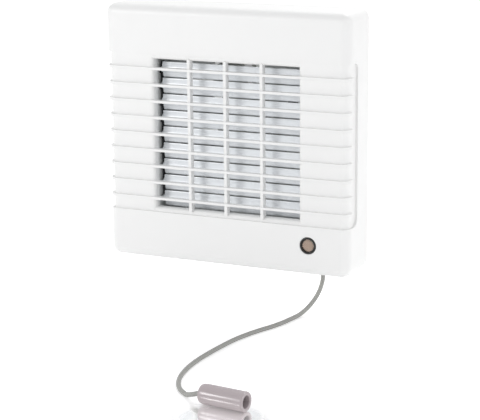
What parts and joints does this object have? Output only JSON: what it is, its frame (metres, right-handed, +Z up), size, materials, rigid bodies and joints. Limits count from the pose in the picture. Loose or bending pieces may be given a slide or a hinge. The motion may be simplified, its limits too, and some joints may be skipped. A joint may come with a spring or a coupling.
{
  "type": "exhaust fan",
  "caption": "Square wall-mounted axial exhaust fan for a round duct, with self-opening louvres behind a ribbed grille, an air sensor and a pull-cord switch.",
  "frame": {"origin": "on the duct axis, in the plane of the wall, which is the back face of the rear casing", "axes": "+Y along the duct axis into the wall, -Y out of the grille, +Z up, +X to the right as seen from the front"},
  "size_m": [0.1669, 0.2601, 0.1905],
  "materials": {
    "cover_white": "satin white moulding",
    "casing_white": "satin white moulding",
    "frame_white": "satin white moulding",
    "blade_white": "glossy cool white",
    "impeller_white": "satin",
    "cream_plastic": "satin",
    "bezel_black": "satin black",
    "actuator_black": "satin black",
    "black_rubber": "matt",
    "steel": "bright plated",
    "zinc": "zinc plated",
    "bronze": "sintered, oiled",
    "laminations": "rolled, dark edges",
    "coil_tape": "amber tape",
    "circuit_board": "green lacquer",
    "capacitor_red": "dipped resin",
    "trimmer_blue": "satin",
    "sensor_mesh": "fine woven mesh",
    "cord_grey": "smooth flexible cord",
    "handle_grey": "satin"
  },
  "bodies": {
    "casing": {"front_cover": "cover_white", "louvre_frame": "frame_white", "rear_casing": "casing_white", "duct_spigot": "casing_white", "actuator_body": "actuator_black", "actuator_clip": "steel", "clip_screw": "zinc", "motor_front_bracket": "steel", "motor_rear_bracket": "steel", "front_bearing": "bronze", "rear_bearing": "bronze", "stator_stack": "laminations", "coil_bobbin": "cream_plastic", "stator_coil": "coil_tape", "motor_screw_1": "zinc", "motor_screw_2": "zinc", "control_board": "circuit_board", "film_capacitor": "capacitor_red", "relay": "actuator_black", "trimmer_body": "trimmer_blue", "terminal_block": "cream_plastic", "terminal_screw_1": "zinc", "terminal_screw_2": "zinc", "cable_grommet": "black_rubber", "cable_clamp": "frame_white", "clamp_screw_1": "zinc", "clamp_screw_2": "zinc", "sensor_bezel": "bezel_black", "sensor_mesh": "sensor_mesh", "sensor_element": "cream_plastic", "sensor_board": "circuit_board", "pull_switch": "cream_plastic", "switch_screw": "zinc", "cord_guide": "cover_white", "frame_screw_1": "zinc", "frame_screw_2": "zinc", "frame_screw_3": "zinc", "frame_screw_4": "zinc", "cover_screw": "zinc"},
    "fan_rotor": {"rotor": "steel", "shaft": "steel", "impeller": "impeller_white", "impeller_cap": "impeller_white"},
    "louvre_1": {"louvre_blade_1": "blade_white"},
    "louvre_2": {"louvre_blade_2": "blade_white"},
    "louvre_3": {"louvre_blade_3": "blade_white"},
    "louvre_4": {"louvre_blade_4": "blade_white"},
    "louvre_5": {"louvre_blade_5": "blade_white", "drive_lever": "frame_white"},
    "louvre_6": {"louvre_blade_6": "blade_white"},
    "louvre_7": {"louvre_blade_7": "blade_white"},
    "louvre_8": {"louvre_blade_8": "blade_white"},
    "louvre_9": {"louvre_blade_9": "blade_white"},
    "louvre_link": {"link_bar": "actuator_black"},
    "plunger": {"actuator_plunger": "zinc"},
    "pull": {"switch_slider": "frame_white", "pull_cord": "cord_grey", "cord_knot": "cord_grey", "pull_handle": "handle_grey"},
    "trimmer": {"trimmer_dial": "cream_plastic"}
  },
  "joints": [
    {"name": "impeller_spin", "type": "hinge", "parent": "casing", "child": "fan_rotor", "pos_m": [0, 0, 0], "axis": [0, 1, 0], "continuous": true},
    {"name": "louvre_5_turn", "type": "hinge", "parent": "casing", "child": "louvre_5", "pos_m": [0, -0.0216, -0.0016], "axis": [-1, 0, 0], "range_deg": [0, 78]},
    {"name": "louvre_1_turn", "type": "hinge", "parent": "casing", "child": "louvre_1", "pos_m": [0, -0.0216, 0.0395], "axis": [-1, 0, 0], "range_deg": [0, 78]},
    {"name": "louvre_2_turn", "type": "hinge", "parent": "casing", "child": "louvre_2", "pos_m": [0, -0.0216, 0.02923], "axis": [-1, 0, 0], "range_deg": [0, 78]},
    {"name": "louvre_3_turn", "type": "hinge", "parent": "casing", "child": "louvre_3", "pos_m": [0, -0.0216, 0.01895], "axis": [-1, 0, 0], "range_deg": [0, 78]},
    {"name": "louvre_4_turn", "type": "hinge", "parent": "casing", "child": "louvre_4", "pos_m": [0, -0.0216, 0.00868], "axis": [-1, 0, 0], "range_deg": [0, 78]},
    {"name": "louvre_6_turn", "type": "hinge", "parent": "casing", "child": "louvre_6", "pos_m": [0, -0.0216, -0.01188], "axis": [-1, 0, 0], "range_deg": [0, 78]},
    {"name": "louvre_7_turn", "type": "hinge", "parent": "casing", "child": "louvre_7", "pos_m": [0, -0.0216, -0.02215], "axis": [-1, 0, 0], "range_deg": [0, 78]},
    {"name": "louvre_8_turn", "type": "hinge", "parent": "casing", "child": "louvre_8", "pos_m": [0, -0.0216, -0.03243], "axis": [-1, 0, 0], "range_deg": [0, 78]},
    {"name": "louvre_9_turn", "type": "hinge", "parent": "casing", "child": "louvre_9", "pos_m": [0, -0.0216, -0.0427], "axis": [-1, 0, 0], "range_deg": [0, 78]},
    {"name": "link_turn", "type": "hinge", "parent": "louvre_5", "child": "louvre_link", "pos_m": [0, -0.01803, 0.00129], "axis": [-1, 0, 0], "range_deg": [-78, 0]},
    {"name": "plunger_slide", "type": "slide", "parent": "casing", "child": "plunger", "axis": [0, 0, -1], "range_m": [0, 0.00755]},
    {"name": "cord_pull", "type": "slide", "parent": "casing", "child": "pull", "axis": [0, 0, -1], "range_m": [0, 0.0045], "stiffness_N_per_m": 600, "springref_m": -0.002},
    {"name": "trimmer_turn", "type": "hinge", "parent": "casing", "child": "trimmer", "pos_m": [0.0375, -0.0114, -0.06935], "axis": [0, -1, 0], "range_deg": [0, 270]}
  ],
  "couplings": [
    {"joint": "louvre_5_turn", "follows": "plunger_slide", "rad_per_m": 180.3},
    {"joint": "louvre_1_turn", "follows": "plunger_slide", "rad_per_m": 180.3},
    {"joint": "louvre_2_turn", "follows": "plunger_slide", "rad_per_m": 180.3},
    {"joint": "louvre_3_turn", "follows": "plunger_slide", "rad_per_m": 180.3},
    {"joint": "louvre_4_turn", "follows": "plunger_slide", "rad_per_m": 180.3},
    {"joint": "louvre_6_turn", "follows": "plunger_slide", "rad_per_m": 180.3},
    {"joint": "louvre_7_turn", "follows": "plunger_slide", "rad_per_m": 180.3},
    {"joint": "louvre_8_turn", "follows": "plunger_slide", "rad_per_m": 180.3},
    {"joint": "louvre_9_turn", "follows": "plunger_slide", "rad_per_m": 180.3},
    {"joint": "link_turn", "follows": "plunger_slide", "rad_per_m": -180.3}
  ]
}
